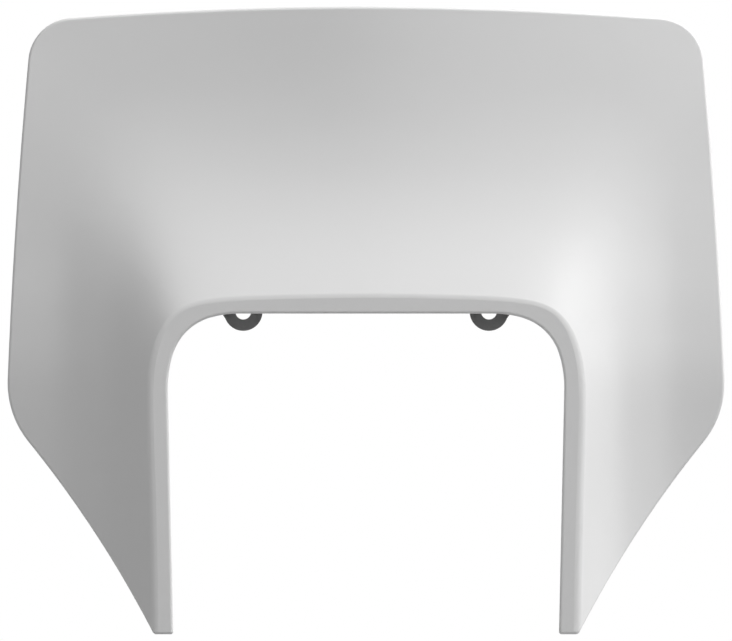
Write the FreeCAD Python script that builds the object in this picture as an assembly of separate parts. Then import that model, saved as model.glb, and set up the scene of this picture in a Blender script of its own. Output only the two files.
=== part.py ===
# Motorcycle headlight mask: one moulded shell with two headlight lugs pushed into it.
# Millimetres. +Z is up, the mask faces -Y and +X is on the right as it is seen from the front.
# The origin is midway between the screw holes of the two lugs, in the middle of their thickness.

import FreeCAD
import Part
import math
import os

from FreeCAD import Vector

# Outline, seen from the front
MASK_TOP_Z = 122.1               # crown of the arched top edge
TOP_CORNER_X = 133.9             # top corners, before they are rounded
TOP_CORNER_Z = 116.3
LOWER_CORNER_X = 144.0           # widest corners, before they are rounded
LOWER_CORNER_Z = -41.5
TOE_Z = -128.8                   # lower end of both legs
SIDE_BULGE = 1.2                 # how far each long side bows outwards
DIAGONAL_HOLLOW = 3.0            # how far each lower edge bows inwards
TOP_CORNER_R = 18.0
LOWER_CORNER_R = 37.0
TOE_OUTER_R = 1.6
TOE_INNER_R = 1.0

# Opening for the headlight, open at the bottom
OPENING_TOP_Z = -0.8
OPENING_TOE_HALF_X = 77.0        # at the lower end of the legs
TOE_WIDTH = 7.7                  # of each leg at its lower end
LEG_LEAN = 1.26                  # degrees that the legs' inner sides lean in
# Arcs of the opening's corners: the radius, and how far round the corner each one ends
CORNER_ARCS = ((40.0, 17.0), (21.65, 72.0), (44.2, 90.0 + LEG_LEAN))

# Wall, rim and edges
WALL = 2.5
RIM_EDGE_R = 4.0                 # between the flat rim and the skin
FRONT_EDGE_R = 1.1               # round the outline and the opening
RETURN_DEPTH = 12.0              # the wall behind the rim, at the top of the opening
RETURN_TOE_DEPTH = 7.0           # and at the lower end of the legs
LUG_SETBACK = 1.75               # from that wall's back edge to the lugs

# Form of the skin. Its depth behind the rim is a sum of bends: each has the place where it
# starts, the slope that it adds, and a softness, which is how gently it turns.
ROOF_LEAD = 14.43                # below its first bend the roof would run this far before the rim
ROOF_TOE_Z = -20.0
ROOF_TOE_SOFTNESS = 10.7
ROOF_SLOPE = 0.738
ROOF_BREAK_Z = 42.8              # the roof of the hood turns up into the plate
ROOF_BREAK_SOFTNESS = 22.1
PLATE_SLOPE = -0.042
SWEEP_REACH = 909.0              # the plate sweeps back to its sides, more so towards the top
SWEEP_START_Z = 5.8
SWEEP_START_SOFTNESS = 3.0
SWEEP_SOFTNESS = 29.2
HIP_INSET = 1.9                  # the side walls of the hood start this far inside the toes
HIP_SPREAD = 0.55
HIP_SPREAD_Z = 30.3
HIP_SPREAD_SOFTNESS = 14.0
HIP_SOFTNESS = 5.2
HIP_SOFTENING = 0.268            # and turn more gently towards the top
HIP_SOFTENING_Z = 51.4
HIP_SOFTENING_SOFTNESS = 10.0
SIDE_SLOPE = 1.49
SIDE_FADE_Z = 5.8                # the side walls flatten out about this height
SIDE_FADE_HEIGHT = 44.1
SIDE_END_Z = 92.6                # and are gone above this one
SIDE_END_HEIGHT = 8.7
SIDE_WIDTH = 25.5                # from there to the knee, where they turn to a gentler slope
KNEE_SOFTNESS = 3.2
LOW_SIDE_SLOPE = 0.431
LOW_SIDE_FADE_Z = 31.9
LOW_SIDE_FADE_HEIGHT = 30.6
LOW_SIDE_WIDTH = 20.8            # from the knee to the foot, where they run into the wings
FOOT_SOFTNESS = 2.9
WING_SLOPE = 0.127
WING_FADE_Z = 62.0
WING_FADE_HEIGHT = 27.1
SKIN_STEP = 4.5                  # spacing across of the points that the outer face passes through
INSIDE_STEP = 9.0                # and across of those of the inner face
SKIN_RISE = 10.0                 # spacing upwards, for both
SKIN_MARGIN = 9.0                # the skin runs on this far past the outline before it is trimmed
SKIN_DEPTH = 120.0               # the uncut body reaches this far back
SLOPE_PROBE = 0.5                # half the distance over which the skin's slope is taken
TOUCH = 0.01                     # edges and faces closer than this are taken as the same

# Stiffening ribs between the skin and the wall behind the rim
RIB = 1.8
ROOF_RIBS_X = (-20.0, 20.0)
LEG_RIBS_Z = (-36.0, -66.0, -96.0)

# Headlight lugs
LUG_SPACING = 98.2
LUG_THICKNESS = 4.5
LUG_R = 7.7
LUG_HOLE_R = 3.15
LUG_INNER_SIDE = 7.0             # straight side, towards the middle of the mask
LUG_OUTER_SIDE = 9.0             # slanted side, away from it
LUG_SLANT_LOW_Z = -2.8
LUG_SLANT_TOP_Z = -0.1
LUG_SHOULDER_Z = 9.0             # the lug seats against its socket here
CHEEK = 1.0                      # raised edges along both sides of the lug
STEM_WIDTH = 9.0
STEM_LENGTH = 11.0
STEM_THICKNESS = 3.0
BARB_HEIGHT = 3.0                # the catch on the back of the stem
BARB_WIDTH = 4.0
BARB_DEPTH = 1.6
BARB_RISE = 2.5                  # from the shoulder to the catch
FIT = 0.15                       # clearance all round the stem

# Sockets for the lugs, moulded on the back of the hood's roof
SOCKET_WALL = 2.0

# Pegs for the rubber straps, moulded on the back of the wings
PEG_X = 118.0
PEGS_Z = (70.0, -22.0)
PEG_R = 3.0
PEG_HEAD_R = 5.5
PEG_HEAD = 2.5
PEG_NECK = 9.0                   # clear length between the wing and the head

# The side walls follow the opening
HIP_X = OPENING_TOE_HALF_X - HIP_INSET
KNEE_X = HIP_X + SIDE_WIDTH
FOOT_X = KNEE_X + LOW_SIDE_WIDTH

# The flat rim is the foremost face. It stands before the lugs by the wall behind it.
RIM_FRONT_Y = -(LUG_THICKNESS / 2 + CHEEK + LUG_SETBACK + RETURN_DEPTH)


def at(x, z):
    return Vector(x, 0, z)


def box(x, y, z):
    """A box from three (low, high) pairs."""
    size = [pair[1] - pair[0] for pair in (x, y, z)]
    return Part.makeBox(size[0], size[1], size[2], Vector(x[0], y[0], z[0]))


def prism(edges, front, back):
    """Run a closed outline in the XZ plane from front to back."""
    face = Part.Face(Part.Wire(Part.__sortEdges__(edges)))
    face.translate(Vector(0, front, 0))
    return face.extrude(Vector(0, back - front, 0))


def lines(points):
    """Straight edges round a closed outline."""
    ends = points[1:] + points[:1]
    return [Part.LineSegment(start, end).toShape() for start, end in zip(points, ends)]


def ramp(distance, softness):
    """A bend: nothing before it, the full distance past it, and a smooth turn between."""
    return 0.5 * (distance + math.sqrt(distance ** 2 + 4.0 * softness ** 2))


def fade(distance, height):
    """One far below the place, nothing far above it."""
    share = distance / height
    return 0.5 * (1.0 - share / math.sqrt(1.0 + share ** 2))


def skin_depth(x, z):
    """How far the outer skin lies behind the rim."""
    u = abs(x)
    roof = ROOF_SLOPE * ramp(z - ROOF_TOE_Z, ROOF_TOE_SOFTNESS) - ROOF_LEAD
    roof -= (ROOF_SLOPE - PLATE_SLOPE) * ramp(z - ROOF_BREAK_Z, ROOF_BREAK_SOFTNESS)
    sweep = ramp(z - SWEEP_START_Z, SWEEP_START_SOFTNESS) / SWEEP_REACH
    sweep *= math.hypot(u, SWEEP_SOFTNESS) - SWEEP_SOFTNESS
    hip = HIP_X + HIP_SPREAD * ramp(z - HIP_SPREAD_Z, HIP_SPREAD_SOFTNESS)
    softness = HIP_SOFTNESS + HIP_SOFTENING * ramp(z - HIP_SOFTENING_Z, HIP_SOFTENING_SOFTNESS)
    past_knee = ramp(u - KNEE_X, KNEE_SOFTNESS)
    side = SIDE_SLOPE * fade(z - SIDE_FADE_Z, SIDE_FADE_HEIGHT)
    side *= fade(z - SIDE_END_Z, SIDE_END_HEIGHT)
    side *= ramp(u - hip, softness) - past_knee
    low_side = LOW_SIDE_SLOPE * fade(z - LOW_SIDE_FADE_Z, LOW_SIDE_FADE_HEIGHT)
    low_side *= past_knee - ramp(u - FOOT_X, FOOT_SOFTNESS)
    wing = WING_SLOPE * fade(z - WING_FADE_Z, WING_FADE_HEIGHT) * past_knee
    return roof + sweep + side + low_side + wing


def skin_solid(inset, step):
    """Everything behind the skin, or behind a face that lies a wall's thickness inside it."""
    columns = 2 * math.ceil((LOWER_CORNER_X + SKIN_MARGIN) / step) + 1
    low = TOE_Z - SKIN_MARGIN
    rows = math.ceil((MASK_TOP_Z + SKIN_MARGIN - low) / SKIN_RISE) + 1
    grid = []
    for i in range(columns):
        x = (i - columns // 2) * step
        line = []
        for j in range(rows):
            z = low + j * SKIN_RISE
            across = skin_depth(x + SLOPE_PROBE, z) - skin_depth(x - SLOPE_PROBE, z)
            upward = skin_depth(x, z + SLOPE_PROBE) - skin_depth(x, z - SLOPE_PROBE)
            slope = math.hypot(across, upward) / (2 * SLOPE_PROBE)
            behind = inset * math.hypot(1.0, slope)
            line.append(Vector(x, RIM_FRONT_Y + skin_depth(x, z) + behind, z))
        grid.append(line)
    surface = Part.BSplineSurface()
    surface.interpolate(grid)
    return surface.toShape().extrude(Vector(0, SKIN_DEPTH, 0))


def behind_plane(front):
    """Everything behind an upright plane."""
    reach = 2 * LOWER_CORNER_X
    return box((-reach, reach), (front, front + 2 * SKIN_DEPTH), (-reach, reach))


def bowed(start, end, bow):
    """An arc whose middle stands off its chord, to the left of its direction."""
    chord = end - start
    side = Vector(-chord.z, 0, chord.x).normalize()
    return Part.Arc(start, (start + end) * 0.5 + side * bow, end).toShape()


def round_upright(solid, x, z, radius):
    """Round the two front-to-back edges at x and -x."""
    chosen = []
    for edge in solid.Edges:
        centre = edge.CenterOfMass
        front_to_back = edge.BoundBox.XLength < TOUCH and edge.BoundBox.ZLength < TOUCH
        if front_to_back and abs(abs(centre.x) - x) < TOUCH and abs(centre.z - z) < TOUCH:
            chosen.append(edge)
    return solid.makeFillet(radius, chosen)


def face_prism(front, back):
    """The mask as it is seen from the front: the outline without the opening."""
    toe_outer_x = OPENING_TOE_HALF_X + TOE_WIDTH
    toes = [at(side * toe_outer_x, TOE_Z) for side in (-1, 1)]
    lows = [at(side * LOWER_CORNER_X, LOWER_CORNER_Z) for side in (-1, 1)]
    tops = [at(side * TOP_CORNER_X, TOP_CORNER_Z) for side in (-1, 1)]
    edges = [
        Part.Arc(tops[0], at(0, MASK_TOP_Z), tops[1]).toShape(),
        bowed(tops[1], lows[1], SIDE_BULGE),
        bowed(lows[1], toes[1], -DIAGONAL_HOLLOW),
        Part.LineSegment(toes[1], toes[0]).toShape(),
        bowed(toes[0], lows[0], -DIAGONAL_HOLLOW),
        bowed(lows[0], tops[0], SIDE_BULGE),
    ]
    solid = prism(edges, front, back).cut(opening_prism(0.0, front - WALL, back + WALL))
    for x, z, radius in (
        (TOP_CORNER_X, TOP_CORNER_Z, TOP_CORNER_R),
        (LOWER_CORNER_X, LOWER_CORNER_Z, LOWER_CORNER_R),
        (toe_outer_x, TOE_Z, TOE_OUTER_R),
        (OPENING_TOE_HALF_X, TOE_Z, TOE_INNER_R),
    ):
        solid = round_upright(solid, x, z, radius)
    return solid


def opening_prism(grow, front, back):
    """The opening, or the opening with a wall of that thickness round it."""
    low = TOE_Z - SKIN_MARGIN
    lean = math.tan(math.radians(LEG_LEAN))
    arcs = []
    turned = 0.0
    point = at(0, OPENING_TOP_Z)
    for radius, degrees in CORNER_ARCS:
        centre = point - at(math.sin(turned), math.cos(turned)) * radius
        angles = (turned, (turned + math.radians(degrees)) / 2, math.radians(degrees))
        arcs.append([centre + at(math.sin(a), math.cos(a)) * (radius + grow) for a in angles])
        turned = math.radians(degrees)
        point = centre + at(math.sin(turned), math.cos(turned)) * radius
    corner_start = at(OPENING_TOE_HALF_X + lean * (point.z - TOE_Z) - point.x, 0)
    arcs = [[place + corner_start for place in arc] for arc in arcs]
    first = arcs[0][0]
    last = arcs[-1][-1]
    foot = at(last.x - lean * (last.z - low), low)
    edges = [
        Part.LineSegment(at(-first.x, first.z), first).toShape(),
        Part.LineSegment(at(-foot.x, low), foot).toShape(),
    ]
    for side in (-1, 1):
        for arc in arcs:
            edges.append(Part.Arc(*[at(side * place.x, place.z) for place in arc]).toShape())
        leg = Part.LineSegment(at(side * last.x, last.z), at(side * foot.x, low))
        edges.append(leg.toShape())
    return prism(edges, front, back)


def edges_between(faces, others):
    """Edges that a face of the first group shares with one of the second."""
    theirs = [edge for face in others for edge in face.Edges]
    chosen = []
    for face in faces:
        chosen += [edge for edge in face.Edges if any(edge.isSame(other) for other in theirs)]
    return chosen


def outer_body():
    """The mask as if it were solid right through, with its front edges rounded."""
    back = RIM_FRONT_Y + SKIN_DEPTH / 2
    body = skin_solid(0.0, SKIN_STEP).common(behind_plane(RIM_FRONT_Y)).Solids[0]
    rim = [face for face in body.Faces if face.BoundBox.YMax < RIM_FRONT_Y + TOUCH]
    others = [face for face in body.Faces if face.BoundBox.YMax >= RIM_FRONT_Y + TOUCH]
    body = body.makeFillet(RIM_EDGE_R, edges_between(rim, others))
    body = body.common(face_prism(RIM_FRONT_Y - WALL, back)).Solids[0]
    sides = [face for face in body.Faces if face.BoundBox.YMax > back - TOUCH]
    front = [face for face in body.Faces if face.BoundBox.YMax <= back - TOUCH]
    return body.makeFillet(FRONT_EDGE_R, edges_between(front, sides))


def return_wall():
    """The wall behind the rim, which follows the opening and is shallower at the toes."""
    margin = SKIN_MARGIN + WALL
    top = OPENING_TOP_Z + margin
    front = RIM_FRONT_Y - margin
    back = RIM_FRONT_Y + RETURN_DEPTH
    toe_back = RIM_FRONT_Y + RETURN_TOE_DEPTH
    side_view = [
        Vector(0, front, top),
        Vector(0, back, top),
        Vector(0, back, OPENING_TOP_Z),
        Vector(0, toe_back, TOE_Z),
        Vector(0, toe_back, TOE_Z - margin),
        Vector(0, front, TOE_Z - margin),
    ]
    return along_x(side_view, LOWER_CORNER_X).common(opening_prism(WALL, front, back))


def along_x(side_view, half_width):
    """Run a closed side view from -X to +X."""
    face = Part.Face(Part.makePolygon(side_view + side_view[:1]))
    face.translate(Vector(-half_width, 0, 0))
    return face.extrude(Vector(2 * half_width, 0, 0))


def ribs():
    """Plates that stand between the skin and the wall behind the rim."""
    front = RIM_FRONT_Y
    roof_back = front + RETURN_DEPTH
    leg_back = front + RETURN_TOE_DEPTH
    shapes = []
    for x in ROOF_RIBS_X:
        span = (x - RIB / 2, x + RIB / 2)
        shapes.append(box(span, (front, roof_back), (OPENING_TOP_Z, MASK_TOP_Z)))
    across = (-LOWER_CORNER_X, LOWER_CORNER_X)
    for z in LEG_RIBS_Z:
        shapes.append(box(across, (front, leg_back), (z - RIB / 2, z + RIB / 2)))
    shapes.append(box(across, (front, leg_back), (TOE_Z - WALL, TOE_Z + WALL)))
    return shapes


def socket(x):
    """A pocket for a lug's stem, joined to the roof of the hood by its two sides."""
    inner_half = STEM_WIDTH / 2 + FIT
    outer_half = inner_half + SOCKET_WALL
    slot_back = STEM_THICKNESS / 2 + FIT
    back = slot_back + SOCKET_WALL
    low = LUG_SHOULDER_Z
    slot_top = low + STEM_LENGTH + FIT
    top = slot_top + SOCKET_WALL
    block = box((x - outer_half, x + outer_half), (RIM_FRONT_Y, back), (low, top))
    across = (x - inner_half, x + inner_half)
    slot = box(across, (-slot_back, slot_back), (low - WALL, slot_top))
    chamber = box(across, (RIM_FRONT_Y - WALL, -back), (low - WALL, slot_top))
    catch_low = low + BARB_RISE - FIT
    window = box(
        (x - BARB_WIDTH / 2 - FIT, x + BARB_WIDTH / 2 + FIT),
        (0, back + WALL),
        (catch_low, catch_low + BARB_HEIGHT + 2 * FIT),
    )
    return block.cut(slot).cut(chamber).cut(window)


def peg(x, z):
    """A headed peg behind a wing. Its stem starts inside the skin."""
    wing_back = RIM_FRONT_Y + skin_depth(x, z) + WALL
    across = Vector(0, 1, 0)
    stem_start = Vector(x, wing_back - WALL / 2, z)
    stem = Part.makeCylinder(PEG_R, WALL / 2 + PEG_NECK, stem_start, across)
    head = Part.makeCylinder(PEG_HEAD_R, PEG_HEAD, Vector(x, wing_back + PEG_NECK, z), across)
    return stem.fuse(head)


def mask_shell():
    cavity = skin_solid(WALL, INSIDE_STEP).common(behind_plane(RIM_FRONT_Y + WALL))
    kept = [return_wall()] + ribs()
    kept += [socket(side * LUG_SPACING / 2) for side in (-1, 1)]
    cavity = cavity.cut(kept)
    shell = outer_body().cut(cavity)
    pegs = [peg(side * PEG_X, z) for side in (-1, 1) for z in PEGS_Z]
    return shell.fuse(pegs).removeSplitter().Solids[0]


def headlight_lug(side):
    """An eyelet with a stem. Its straight side is towards the middle of the mask."""
    x = side * LUG_SPACING / 2
    back = LUG_THICKNESS / 2
    across = Vector(0, 1, 0)
    inner = x - side * LUG_INNER_SIDE
    outer = x + side * LUG_OUTER_SIDE
    slant_low = x + side * math.sqrt(LUG_R ** 2 - LUG_SLANT_LOW_Z ** 2)
    inner_low = -math.sqrt(LUG_R ** 2 - LUG_INNER_SIDE ** 2)
    disc = Part.makeCylinder(LUG_R, LUG_THICKNESS, Vector(x, -back, 0), across)
    body = [
        at(inner, inner_low),
        at(inner, LUG_SHOULDER_Z),
        at(outer, LUG_SHOULDER_Z),
        at(outer, LUG_SLANT_TOP_Z),
        at(slant_low, LUG_SLANT_LOW_Z),
    ]
    below_shoulder = box((x - 2 * LUG_R, x + 2 * LUG_R), (-back, back), (-2 * LUG_R, LUG_SHOULDER_Z))
    lug = disc.common(below_shoulder).fuse(prism(lines(body), -back, back))
    cheek_front = -back - CHEEK
    inner_cheek = [
        at(inner, inner_low),
        at(inner, LUG_SHOULDER_Z),
        at(inner + side * CHEEK, LUG_SHOULDER_Z),
        at(inner + side * CHEEK, inner_low),
    ]
    outer_cheek = [
        at(slant_low, LUG_SLANT_LOW_Z),
        at(outer, LUG_SLANT_TOP_Z),
        at(outer, LUG_SHOULDER_Z),
        at(outer - side * CHEEK, LUG_SHOULDER_Z),
        at(outer - side * CHEEK, LUG_SLANT_TOP_Z),
        at(slant_low - side * CHEEK, LUG_SLANT_LOW_Z),
    ]
    half = STEM_WIDTH / 2
    stem_back = STEM_THICKNESS / 2
    stem_top = LUG_SHOULDER_Z + STEM_LENGTH
    stem = box((x - half, x + half), (-stem_back, stem_back), (LUG_SHOULDER_Z - WALL, stem_top))
    catch_low = LUG_SHOULDER_Z + BARB_RISE
    catch = [
        Vector(0, 0, catch_low),
        Vector(0, stem_back + BARB_DEPTH, catch_low),
        Vector(0, stem_back, catch_low + BARB_HEIGHT),
        Vector(0, 0, catch_low + BARB_HEIGHT),
    ]
    barb = along_x(catch, BARB_WIDTH / 2)
    barb.translate(Vector(x, 0, 0))
    pieces = [prism(lines(outline), cheek_front, 0) for outline in (inner_cheek, outer_cheek)]
    lug = lug.fuse(pieces + [stem, barb])
    hole = Part.makeCylinder(LUG_HOLE_R, 4 * LUG_THICKNESS, Vector(x, -2 * LUG_THICKNESS, 0), across)
    return lug.cut(hole).removeSplitter().Solids[0]


def main():
    os.makedirs("parts", exist_ok=True)
    mask_shell().exportStep("parts/mask_shell.step")
    headlight_lug(-1).exportStep("parts/headlight_lug_left.step")
    headlight_lug(1).exportStep("parts/headlight_lug_right.step")


if __name__ == "__main__":
    main()
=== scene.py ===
import math

import bmesh
import bpy
from bpy.props import FloatProperty, FloatVectorProperty, PointerProperty
from bpy.types import Operator, Panel, PropertyGroup
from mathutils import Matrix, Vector


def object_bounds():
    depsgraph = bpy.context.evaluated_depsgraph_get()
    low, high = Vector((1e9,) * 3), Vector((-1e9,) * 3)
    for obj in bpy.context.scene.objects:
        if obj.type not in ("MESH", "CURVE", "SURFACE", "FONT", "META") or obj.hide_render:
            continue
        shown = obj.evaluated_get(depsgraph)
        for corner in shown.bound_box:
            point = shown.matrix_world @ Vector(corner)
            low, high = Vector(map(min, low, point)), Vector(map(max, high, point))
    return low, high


bl_info = {
    "name": "Headlight Mask Finishes",
    "version": (1, 0, 0),
    "blender": (4, 5, 0),
    "location": "View3D > Sidebar > Headlight Mask",
    "description": "Finishes, light and camera for a moulded motorcycle headlight mask",
    "category": "Object",
}

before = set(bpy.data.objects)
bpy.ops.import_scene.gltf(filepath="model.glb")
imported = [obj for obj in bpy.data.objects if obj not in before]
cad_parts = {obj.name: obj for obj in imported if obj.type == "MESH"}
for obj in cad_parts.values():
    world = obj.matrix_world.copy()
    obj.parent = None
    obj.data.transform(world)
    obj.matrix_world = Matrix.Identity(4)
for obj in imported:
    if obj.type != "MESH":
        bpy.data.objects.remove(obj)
cad_low, cad_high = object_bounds()

SHELL = "mask_shell"
LUGS = ("headlight_lug_left", "headlight_lug_right")

# The photograph's frame: its size in pixels, and the pixel that shows the mask's own origin
PHOTO_WIDTH = 732
PHOTO_HEIGHT = 641
ORIGIN_PIXEL_X = 366.1
ORIGIN_PIXEL_Y = 311.6

# Each lamp: its name, its direction from the mask in degrees round to the right and upwards,
# and its power in watts
LAMPS = (
    ("right_top", 90.0, 60.0, 20.5),
    ("right_top_front", 60.0, 60.0, 17.2),
    ("right_back", 120.0, 30.0, 13.3),
    ("left_front", -30.0, 30.0, 10.8),
    ("right_side", 90.0, 0.0, 10.2),
    ("right_front", 60.0, 30.0, 8.3),
)

# Detail of the noise in the clouds of colour, in the clouds of gloss and in the mould's grain
COLOR_DETAIL = 3.0
GLOSS_DETAIL = 4.0
GRAIN_DETAIL = 2.0
GLOSS_CLOUDS = 3.0  # how many times smaller the clouds of gloss are than those of colour
GLOSS_SPREAD = 0.04  # how much they change the roughness, either way

FLOOR_ROUGHNESS = 0.9
CAMERA_NEAR = 0.1  # metres from the camera, within which it sees nothing
CAMERA_FAR = 2.0  # times its distance from the mask, beyond which it sees nothing


class ShellFinish(PropertyGroup):
    color: FloatVectorProperty(
        name="Plastic",
        description="Colour of the moulded shell",
        subtype="COLOR",
        default=(0.78, 0.78, 0.78),
        min=0.0,
        max=1.0,
    )
    variation: FloatProperty(
        name="Variation",
        description="How much the colour changes over the moulding, as a share of it",
        subtype="FACTOR",
        default=0.015,
        min=0.0,
        max=1.0,
    )
    clouds: FloatProperty(
        name="Clouds",
        description="Width of the faint clouds in the colour",
        subtype="DISTANCE",
        unit="LENGTH",
        default=0.08,
        min=0.0001,
    )
    roughness: FloatProperty(
        name="Roughness",
        description="How matt the moulded surface is",
        subtype="FACTOR",
        default=0.45,
        min=0.0,
        max=1.0,
    )
    grain: FloatProperty(
        name="Grain",
        description="Width of one grain of the mould's fine texture",
        subtype="DISTANCE",
        unit="LENGTH",
        default=0.0007,
        min=0.0001,
    )
    grain_depth: FloatProperty(
        name="Grain depth",
        description="Depth of that texture",
        subtype="DISTANCE",
        unit="LENGTH",
        default=0.000006,
        min=0.0,
    )


class LugFinish(PropertyGroup):
    color: FloatVectorProperty(
        name="Plastic",
        description="Colour of the headlight lugs",
        subtype="COLOR",
        default=(0.21, 0.21, 0.21),
        min=0.0,
        max=1.0,
    )
    variation: FloatProperty(
        name="Variation",
        description="How much the colour changes over a lug, as a share of it",
        subtype="FACTOR",
        default=0.12,
        min=0.0,
        max=1.0,
    )
    clouds: FloatProperty(
        name="Clouds",
        description="Width of the faint clouds in the colour",
        subtype="DISTANCE",
        unit="LENGTH",
        default=0.004,
        min=0.0001,
    )
    roughness: FloatProperty(
        name="Roughness",
        description="How matt the lugs are",
        subtype="FACTOR",
        default=0.52,
        min=0.0,
        max=1.0,
    )
    grain: FloatProperty(
        name="Grain",
        description="Width of one grain of the lugs' texture",
        subtype="DISTANCE",
        unit="LENGTH",
        default=0.0004,
        min=0.0001,
    )
    grain_depth: FloatProperty(
        name="Grain depth",
        description="Depth of that texture",
        subtype="DISTANCE",
        unit="LENGTH",
        default=0.00001,
        min=0.0,
    )


class StudioSizes(PropertyGroup):
    pixel: FloatProperty(
        name="Pixel",
        description="Size of one pixel of the photograph on the mask",
        subtype="DISTANCE",
        unit="LENGTH",
        default=0.0004,
        min=0.0001,
    )
    camera_distance: FloatProperty(
        name="Camera distance",
        description="From the camera to the middle of the mask",
        subtype="DISTANCE",
        unit="LENGTH",
        default=10.0,
        min=1.0,
    )
    lamp_distance: FloatProperty(
        name="Lamp distance",
        description="From each lamp to the mask's origin",
        subtype="DISTANCE",
        unit="LENGTH",
        default=2.0,
        min=0.5,
    )
    lamp_size: FloatProperty(
        name="Lamp size",
        description="Diameter of each round lamp",
        subtype="DISTANCE",
        unit="LENGTH",
        default=1.2,
        min=0.1,
    )
    floor_drop: FloatProperty(
        name="Floor drop",
        description="Clear height under the toes",
        subtype="DISTANCE",
        unit="LENGTH",
        default=0.07,
        min=0.0,
    )
    floor_size: FloatProperty(
        name="Floor size",
        description="Length of each side of the floor",
        subtype="DISTANCE",
        unit="LENGTH",
        default=4.0,
        min=1.0,
    )
    fade_start: FloatProperty(
        name="Fade start",
        description="How far from the middle the floor starts to fade into white",
        subtype="DISTANCE",
        unit="LENGTH",
        default=0.4,
        min=0.0,
    )
    floor_tone: FloatProperty(
        name="Floor tone",
        description="How much light the floor throws back",
        subtype="FACTOR",
        default=0.35,
        min=0.0,
        max=1.0,
    )
    ambient: FloatProperty(
        name="Ambient light",
        description="Strength of the even light from all round",
        default=0.0,
        min=0.0,
    )


def add_node(tree, kind, **settings):
    """A new node with some of its settings."""
    node = tree.nodes.new(kind)
    for name, value in settings.items():
        setattr(node, name, value)
    return node


def new_finish(name):
    """An empty material: its tree and its shader."""
    finish = bpy.data.materials.new(name)
    finish.use_nodes = True
    return finish, finish.node_tree, finish.node_tree.nodes["Principled BSDF"]


def noise(tree, width, detail):
    """Clouds of that width in metres, in the object's own space."""
    space = add_node(tree, "ShaderNodeTexCoord")
    clouds = add_node(tree, "ShaderNodeTexNoise")
    clouds.inputs["Scale"].default_value = 1.0 / width
    clouds.inputs["Detail"].default_value = detail
    tree.links.new(space.outputs["Object"], clouds.inputs["Vector"])
    return clouds.outputs["Fac"]


def between(tree, share, low, high, start=0.0, end=1.0):
    """A number that goes from low to high while another goes from start to end."""
    scale = add_node(tree, "ShaderNodeMapRange")
    scale.inputs["From Min"].default_value = start
    scale.inputs["From Max"].default_value = end
    scale.inputs["To Min"].default_value = low
    scale.inputs["To Max"].default_value = high
    tree.links.new(share, scale.inputs["Value"])
    return scale.outputs["Result"]


def shades(tree, share, color, variation):
    """A colour that goes from a little darker to a little lighter with a share."""
    mix = add_node(tree, "ShaderNodeMix", data_type="RGBA")
    dark = [part * (1.0 - variation) for part in color]
    light = [min(1.0, part * (1.0 + variation)) for part in color]
    mix.inputs["A"].default_value = (*dark, 1.0)
    mix.inputs["B"].default_value = (*light, 1.0)
    tree.links.new(share, mix.inputs["Factor"])
    return mix.outputs["Result"]


def moulded_plastic(name, sizes):
    """Moulded plastic: faint clouds of colour and gloss, and the fine grain of the mould."""
    finish, tree, shader = new_finish(name)
    clouds = noise(tree, sizes.clouds, COLOR_DETAIL)
    color = shades(tree, clouds, sizes.color, sizes.variation)
    tree.links.new(color, shader.inputs["Base Color"])
    gloss = noise(tree, sizes.clouds / GLOSS_CLOUDS, GLOSS_DETAIL)
    smooth, rough = sizes.roughness - GLOSS_SPREAD, sizes.roughness + GLOSS_SPREAD
    tree.links.new(between(tree, gloss, smooth, rough), shader.inputs["Roughness"])
    bump = add_node(tree, "ShaderNodeBump")
    bump.inputs["Distance"].default_value = sizes.grain_depth
    tree.links.new(noise(tree, sizes.grain, GRAIN_DETAIL), bump.inputs["Height"])
    tree.links.new(bump.outputs["Normal"], shader.inputs["Normal"])
    return finish


class MASK_OT_shell_finish(Operator):
    """Give the moulded shell its satin white plastic"""

    bl_idname = "mask.shell_finish"
    bl_label = "Shell Finish"

    def execute(self, context):
        finish = moulded_plastic("satin_white_plastic", context.scene.mask_shell_finish)
        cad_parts[SHELL].material_slots[0].material = finish
        return {"FINISHED"}


class MASK_OT_lug_finish(Operator):
    """Give the two headlight lugs their dark plastic"""

    bl_idname = "mask.lug_finish"
    bl_label = "Lug Finish"

    def execute(self, context):
        finish = moulded_plastic("dark_lug_plastic", context.scene.mask_lug_finish)
        for name in LUGS:
            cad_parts[name].material_slots[0].material = finish
        return {"FINISHED"}


def white_to_the_eye(tree, dim):
    """A switch between what lights the mask and the white that the camera and reflections see."""
    rays = add_node(tree, "ShaderNodeLightPath")
    seen = add_node(tree, "ShaderNodeMath", operation="MAXIMUM")
    reflected = add_node(tree, "ShaderNodeMath", operation="MAXIMUM")
    tree.links.new(rays.outputs["Is Glossy Ray"], reflected.inputs[0])
    tree.links.new(rays.outputs["Is Transmission Ray"], reflected.inputs[1])
    tree.links.new(rays.outputs["Is Camera Ray"], seen.inputs[0])
    tree.links.new(reflected.outputs["Value"], seen.inputs[1])
    return between(tree, seen.outputs["Value"], dim, 1.0)


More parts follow.
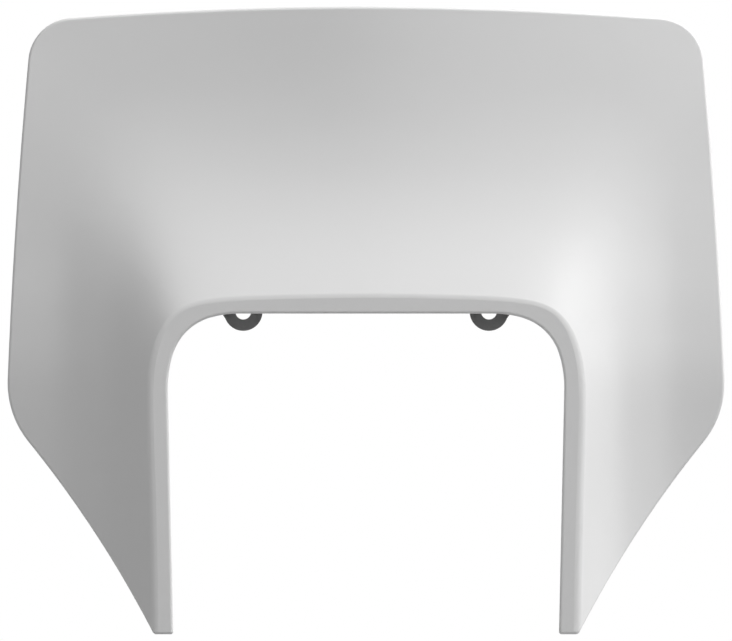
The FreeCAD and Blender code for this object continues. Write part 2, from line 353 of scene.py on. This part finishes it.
def make_floor(sizes):
    """A pale floor that keeps the mask's shadow and fades into the white round it."""
    half = sizes.floor_size / 2
    shape = bmesh.new()
    bmesh.ops.create_grid(shape, x_segments=1, y_segments=1, size=half)
    bmesh.ops.translate(shape, verts=shape.verts, vec=(0.0, 0.0, cad_low.z - sizes.floor_drop))
    mesh = bpy.data.meshes.new("floor")
    shape.to_mesh(mesh)
    shape.free()
    floor = bpy.data.objects.new("floor", mesh)
    bpy.context.scene.collection.objects.link(floor)
    finish, tree, shader = new_finish("pale_floor")
    tone = sizes.floor_tone
    shader.inputs["Base Color"].default_value = (tone, tone, tone, 1.0)
    shader.inputs["Roughness"].default_value = FLOOR_ROUGHNESS
    shader.inputs["Specular IOR Level"].default_value = 0.0
    shader.inputs["Emission Color"].default_value = (1.0, 1.0, 1.0, 1.0)
    space = add_node(tree, "ShaderNodeTexCoord")
    away = add_node(tree, "ShaderNodeVectorMath", operation="LENGTH")
    tree.links.new(space.outputs["Object"], away.inputs[0])
    fade = between(tree, away.outputs["Value"], 1.0 - tone, 1.0, sizes.fade_start, half)
    glow = add_node(tree, "ShaderNodeMath", operation="MULTIPLY")
    tree.links.new(white_to_the_eye(tree, 0.0), glow.inputs[0])
    tree.links.new(fade, glow.inputs[1])
    tree.links.new(glow.outputs["Value"], shader.inputs["Emission Strength"])
    mesh.materials.append(finish)


def make_world(sizes):
    """Even white all round, dim where it only lights the mask."""
    world = bpy.data.worlds.new("studio")
    world.use_nodes = True
    tree = world.node_tree
    background = tree.nodes["Background"]
    background.inputs["Color"].default_value = (1.0, 1.0, 1.0, 1.0)
    strength = white_to_the_eye(tree, sizes.ambient)
    tree.links.new(strength, background.inputs["Strength"])
    bpy.context.scene.world = world


def make_lamps(sizes):
    """Large round lamps that face the mask's origin."""
    for name, azimuth, elevation, power in LAMPS:
        turn = math.radians(azimuth)
        rise = math.radians(elevation)
        level = math.cos(rise)
        out = Vector((math.sin(turn) * level, -math.cos(turn) * level, math.sin(rise)))
        light = bpy.data.lights.new(name, "AREA")
        light.shape = "DISK"
        light.size = sizes.lamp_size
        light.energy = power
        lamp = bpy.data.objects.new(name, light)
        lamp.location = out * sizes.lamp_distance
        lamp.rotation_euler = out.to_track_quat("Z", "Y").to_euler()
        lamp.visible_camera = False
        bpy.context.scene.collection.objects.link(lamp)


def make_camera(sizes):
    """A level camera with a long lens, square to the mask, framed as the photograph is."""
    view = bpy.data.cameras.new("camera")
    view.lens = view.sensor_width * sizes.camera_distance / (PHOTO_WIDTH * sizes.pixel)
    view.clip_start = CAMERA_NEAR
    view.clip_end = CAMERA_FAR * sizes.camera_distance
    camera = bpy.data.objects.new("camera", view)
    across = (PHOTO_WIDTH / 2 - ORIGIN_PIXEL_X) * sizes.pixel
    upward = (ORIGIN_PIXEL_Y - PHOTO_HEIGHT / 2) * sizes.pixel
    middle = (cad_low.y + cad_high.y) / 2
    camera.location = (across, middle - sizes.camera_distance, upward)
    camera.rotation_euler = (math.radians(90.0), 0.0, 0.0)
    bpy.context.scene.collection.objects.link(camera)
    bpy.context.scene.camera = camera


class MASK_OT_studio(Operator):
    """Set up the floor, the light and the camera"""

    bl_idname = "mask.studio"
    bl_label = "Studio"

    def execute(self, context):
        sizes = context.scene.mask_studio
        make_floor(sizes)
        make_world(sizes)
        make_lamps(sizes)
        make_camera(sizes)
        context.scene.view_settings.view_transform = "Standard"
        return {"FINISHED"}


class MASK_PT_finishes(Panel):
    """The mask's finishes and its studio"""

    bl_idname = "MASK_PT_finishes"
    bl_label = "Headlight Mask"
    bl_space_type = "VIEW_3D"
    bl_region_type = "UI"
    bl_category = "Headlight Mask"

    def draw(self, context):
        for group, operator in (
            ("mask_shell_finish", MASK_OT_shell_finish),
            ("mask_lug_finish", MASK_OT_lug_finish),
            ("mask_studio", MASK_OT_studio),
        ):
            sizes = getattr(context.scene, group)
            column = self.layout.box().column()
            for name in sizes.bl_rna.properties.keys():
                if name not in ("rna_type", "name"):
                    column.prop(sizes, name)
            column.operator(operator.bl_idname)


GROUPS = (
    ("mask_shell_finish", ShellFinish),
    ("mask_lug_finish", LugFinish),
    ("mask_studio", StudioSizes),
)
CLASSES = (
    ShellFinish,
    LugFinish,
    StudioSizes,
    MASK_OT_shell_finish,
    MASK_OT_lug_finish,
    MASK_OT_studio,
    MASK_PT_finishes,
)


def register():
    for item in CLASSES:
        bpy.utils.register_class(item)
    for name, group in GROUPS:
        setattr(bpy.types.Scene, name, PointerProperty(type=group))


def unregister():
    for name, _ in GROUPS:
        delattr(bpy.types.Scene, name)
    for item in reversed(CLASSES):
        bpy.utils.unregister_class(item)


def main():
    register()
    bpy.ops.mask.shell_finish()
    bpy.ops.mask.lug_finish()
    bpy.ops.mask.studio()


if __name__ == "__main__":
    main()
